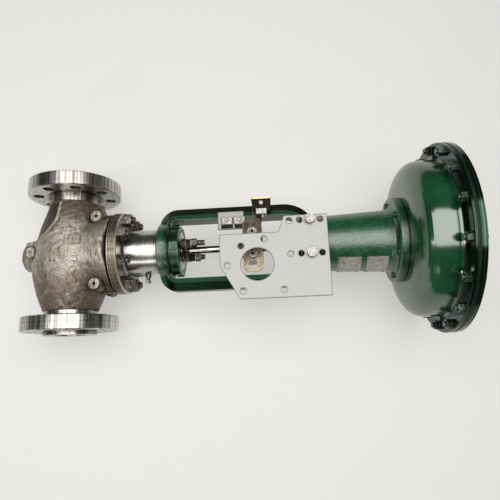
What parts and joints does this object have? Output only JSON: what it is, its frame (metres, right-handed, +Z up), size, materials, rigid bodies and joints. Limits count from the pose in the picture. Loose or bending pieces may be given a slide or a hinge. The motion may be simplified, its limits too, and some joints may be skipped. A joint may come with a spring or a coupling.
{
  "type": "globe control valve",
  "caption": "Flanged globe control valve with a bonnet, cast yoke and spring-to-close diaphragm actuator, its stem sliding to lift the plug off the seat.",
  "frame": {"origin": "centre of the inlet raised face, on the pipe axis", "axes": "+X along the pipe from inlet to outlet, +Z up the stem to the actuator, -Y towards the side with the positioner plate"},
  "size_m": [0.331, 0.331, 0.8143],
  "materials": {
    "cast_stainless": "sand-cast stainless steel, pickled and stained",
    "turned_stainless": "turned stainless steel",
    "bright_steel": "ground and polished stem steel",
    "dark_steel": "dull dark alloy steel",
    "plated_steel": "dull zinc plate",
    "yellow_plate": "worn yellow zinc plate",
    "brass": "turned brass",
    "graphite": "graphite gasket",
    "black_rubber": "nitrile rubber",
    "white_ptfe": "white packing",
    "black_plastic": "moulded black plastic",
    "green_cast": "green enamel on rough cast iron",
    "green_gloss": "glossy green enamel on pressed steel",
    "green_bolt": "green enamel on bolts",
    "green_spring": "painted spring steel",
    "grey_plate": "pale grey plate, lightly marked"
  },
  "bodies": {
    "valve": {"valve_body": "cast_stainless", "seat_ring": "turned_stainless", "seat_gasket": "graphite", "cage": "turned_stainless", "bonnet_gasket": "graphite", "bonnet": "turned_stainless", "bonnet_studs": "dark_steel", "bonnet_nuts": "dark_steel", "bonnet_side_plug": "dark_steel", "packing_box_ring": "turned_stainless", "lantern_ring": "turned_stainless", "packing_rings": "white_ptfe", "packing_follower": "turned_stainless", "wiper_ring": "black_rubber", "packing_flange": "dark_steel", "packing_studs": "dark_steel", "packing_nuts": "dark_steel", "yoke": "green_cast", "spring_barrel": "green_cast", "yoke_locknut": "green_cast", "travel_scale": "plated_steel", "scale_screws": "plated_steel", "positioner_plate": "grey_plate", "plate_bolts": "plated_steel", "nameplates": "plated_steel", "nameplate_rivets": "plated_steel", "spring": "green_spring", "seal_bushing": "brass", "seal_rings": "black_rubber", "casing_cap_screws": "dark_steel", "lower_casing": "green_gloss", "diaphragm": "black_rubber", "upper_casing": "green_gloss", "casing_screws": "green_bolt", "casing_nuts": "green_bolt", "vent_plug": "brass"},
    "stem": {"valve_plug": "turned_stainless", "plug_seal_ring": "black_rubber", "stem_pin": "turned_stainless", "valve_stem": "bright_steel", "stem_locknuts": "plated_steel", "travel_indicator": "plated_steel", "stem_connector_front": "plated_steel", "stem_connector_rear": "plated_steel", "connector_screws": "dark_steel", "feedback_bracket": "yellow_plate", "feedback_block": "black_plastic", "block_cap": "yellow_plate", "block_screws": "plated_steel", "actuator_stem": "bright_steel", "diaphragm_plate": "dark_steel", "stem_washer": "plated_steel", "stem_cap_screw": "plated_steel"},
    "spring_seat": {"spring_seat": "dark_steel"},
    "adjuster": {"spring_adjuster": "yellow_plate"}
  },
  "joints": [
    {"name": "stem_lift", "type": "slide", "parent": "valve", "child": "stem", "axis": [0, 0, 1], "range_m": [0, 0.0286], "stiffness_N_per_m": 128000, "springref_m": -0.0072, "deforming": ["spring", "diaphragm"]},
    {"name": "seat_rise", "type": "slide", "parent": "stem", "child": "spring_seat", "axis": [0, 0, 1], "range_m": [0, 0.00194]},
    {"name": "adjuster_turn", "type": "hinge", "parent": "spring_seat", "child": "adjuster", "pos_m": [0.143, 0, 0.43], "axis": [0, 0, 1], "range_deg": [0, 350]}
  ],
  "couplings": [
    {"joint": "adjuster_turn", "follows": "seat_rise", "rad_per_m": 3141.6}
  ]
}
